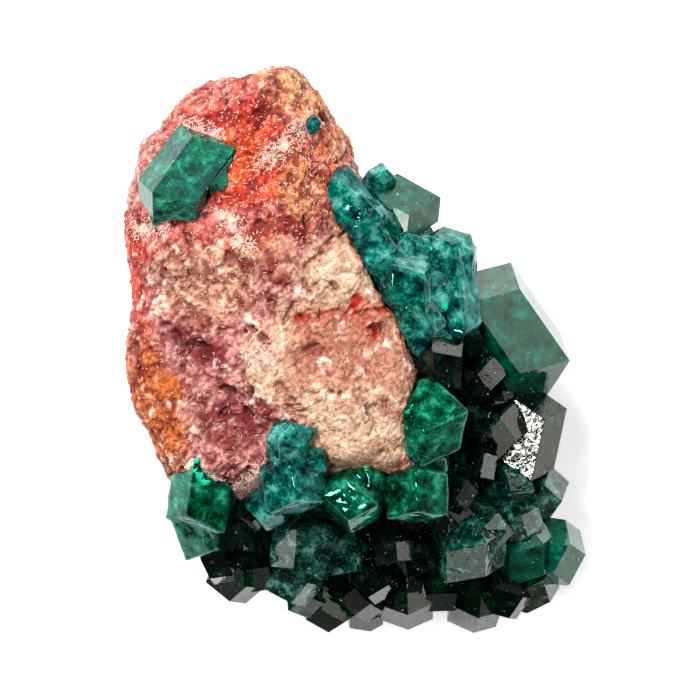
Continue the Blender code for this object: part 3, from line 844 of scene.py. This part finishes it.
def bars(name, centres, normals, lengths, widths, thick, seed):
    """One mesh of bars that lie flat on the normals, each turned at random in its own plane."""
    rng = np.random.default_rng(seed)
    along = np.cross(normals, rng.normal(size=(len(centres), 3)))
    along /= np.linalg.norm(along, axis=1, keepdims=True) + 1e-9
    tilt = rng.normal(scale=0.25, size=(len(centres), 1))
    along = along + tilt * normals
    along /= np.linalg.norm(along, axis=1, keepdims=True)
    across = np.cross(normals, along)
    across /= np.linalg.norm(across, axis=1, keepdims=True)
    up = np.cross(along, across)
    sizes = np.stack([lengths, widths, np.full(len(centres), thick)], axis=1)
    steps = BAR_CORNERS[None, :, :] * sizes[:, None, :]
    points = centres[:, None, :] + steps[..., :1] * along[:, None]
    points = points + steps[..., 1:2] * across[:, None]
    points = (points + steps[..., 2:] * up[:, None]).reshape(-1, 3)
    faces = (BAR_FACES[None] + 8 * np.arange(len(centres))[:, None, None]).reshape(-1, 4)
    mesh = bpy.data.meshes.new(name)
    mesh.from_pydata((points * MM).tolist(), [], faces.tolist())
    obj = bpy.data.objects.new(name, mesh)
    bpy.context.scene.collection.objects.link(obj)
    return obj


def plain_material(name, colour, roughness):
    """Dull broken mineral of one colour, with a faint mottle."""
    material, tree, surface, place = new_material(name)
    shade = ramp(tree, noise(tree, place, 0.6), [(0.3, 0.75), (0.7, 1.0)])
    tree.links.new(mixed(tree, 1.0, linear(colour), shade, "MULTIPLY"), surface.inputs["Base Color"])
    surface.inputs["Roughness"].default_value = roughness
    return material


# %% Needles on the rock, thickest in the frosted runs
NEEDLE_COUNT = 4200
NEEDLE_LIFT = 0.02
NEEDLE_THICK = 0.04
NEEDLE_LEVEL = 9  # no needles below this height
rng = np.random.default_rng(5)
frosted = np.zeros(len(rock_surface))
for route in FROST_RUNS:
    frosted = np.maximum(frosted, streak(rock_surface, route, 1.3))
red_part = area(rock_surface, HEMATITE_ZONE, 0.9)
cream_part = area(rock_surface, CREAM_ZONE, 0.5)
rock_facing = normals_of(rock.data)
weight = (rock_facing[:, 2] > 0.2) * (rock_surface[:, 2] > NEEDLE_LEVEL) * (
    0.3 + 0.7 * red_part + 7.0 * frosted**2 - 0.2 * cream_part)
chosen = rng.choice(len(rock_surface), NEEDLE_COUNT, replace=False, p=weight / weight.sum())
lengths = 0.08 + 0.3 * rng.random(NEEDLE_COUNT) ** 2 + 0.12 * frosted[chosen]
needles = bars(
    "white_needles", rock_surface[chosen] + NEEDLE_LIFT * rock_facing[chosen], rock_facing[chosen],
    lengths, rng.uniform(0.03, 0.07, NEEDLE_COUNT), NEEDLE_THICK, 6)
finish_piece(needles, plain_material("white_quartz_needles", "#E8D4C4", 0.35))


# %% Flakes under the crystal faces: healed cracks, and painted sparkles
FLAKE_COUNT = 300
FLAKE_LENGTHS = (0.1, 0.7)
FLAKE_WIDTH = 0.16  # share of its length
FLAKE_THICK = 0.03
FLAKE_ROOM = 0.6  # how far a flake stays from the faces, as a share of its length
CLEAR_DEPTHS = (0.15, 1.1)
VEILED_DEPTHS = (0.10, 0.5)


def well_inside(mesh, centres, rooms):
    """For each centre, whether it lies inside the mesh and further than its room from any face."""
    faces = [tuple(polygon.vertices) for polygon in mesh.polygons]
    tree = BVHTree.FromPolygons([tuple(point) for point in points_of(mesh)], faces)
    kept = []
    for centre, room in zip(centres, rooms):
        spot, normal, _, apart = tree.find_nearest(centre)
        kept.append(apart > room and (spot - Vector(centre)).dot(normal) > 0)
    return np.array(kept)


def flakes_in(obj, name, count, depth, size, seed):
    """Small flakes at those depths under the faces of a crystal group, or on it for depths
    below zero. They are spread evenly over the faces that look up."""
    rng = np.random.default_rng(seed)
    mesh = obj.data
    mesh.calc_loop_triangles()
    corners = np.empty(len(mesh.loop_triangles) * 3, np.int32)
    mesh.loop_triangles.foreach_get("vertices", corners)
    triangles = points_of(mesh)[corners.reshape(-1, 3)]
    cross = np.cross(triangles[:, 1] - triangles[:, 0], triangles[:, 2] - triangles[:, 0])
    size_of = np.linalg.norm(cross, axis=1)
    facing = cross / (size_of[:, None] + 1e-9)
    weight = size_of * (facing[:, 2] > 0.1)
    chosen = rng.choice(len(triangles), count, p=weight / weight.sum())
    a, b = rng.random((2, count, 1))
    a, b = np.where(a + b > 1, 1 - a, a), np.where(a + b > 1, 1 - b, b)
    own = triangles[chosen]
    centres = own[:, 0] + a * (own[:, 1] - own[:, 0]) + b * (own[:, 2] - own[:, 0])
    centres = centres - facing[chosen] * rng.uniform(*depth, (count, 1))
    lengths = rng.uniform(*size, count)
    sealed = depth[1] > 0
    keep = well_inside(mesh, centres, FLAKE_ROOM * lengths) if sealed else np.full(count, True)
    turned = rng.normal(size=(count, 3)) * 0.6 + facing[chosen]
    turned /= np.linalg.norm(turned, axis=1, keepdims=True)
    return bars(name, centres[keep], turned[keep], lengths[keep], FLAKE_WIDTH * lengths[keep],
                FLAKE_THICK, seed + 1)


# Pale flakes: partly healed cracks in the crystal, partly painted sparkles of light inside it
flake_material = plain_material("healed_cracks_and_painted_sparkles", "#D8FFF4", 0.3)
for number, (node, surface_piece) in enumerate(crystal_surfaces.items()):
    if node == "tiny_top_crystal":
        continue
    reach = VEILED_DEPTHS if node in VEILED_GROUPS else CLEAR_DEPTHS
    flakes = flakes_in(
        surface_piece, node + "_flakes", FLAKE_COUNT, reach, FLAKE_LENGTHS, 100 + number)
    finish_piece(flakes, flake_material)

# %% Painted glints: small white specks that lie on the sharp groups and stand in for glints of light
GLINT_SPECK_COUNT = 42
GLINT_SPECK_DEPTHS = (-0.02, -0.01)
GLINT_SPECK_LENGTHS = (0.04, 0.22)
painted_glint_material = plain_material("broken_crystal_chips", "#DCE8E0", 0.2)
for number, node in enumerate(SHARP_GROUPS):
    glint_specks = flakes_in(
        crystal_surfaces[node], node + "_chips", GLINT_SPECK_COUNT, GLINT_SPECK_DEPTHS, GLINT_SPECK_LENGTHS, 300 + number)
    finish_piece(glint_specks, painted_glint_material)
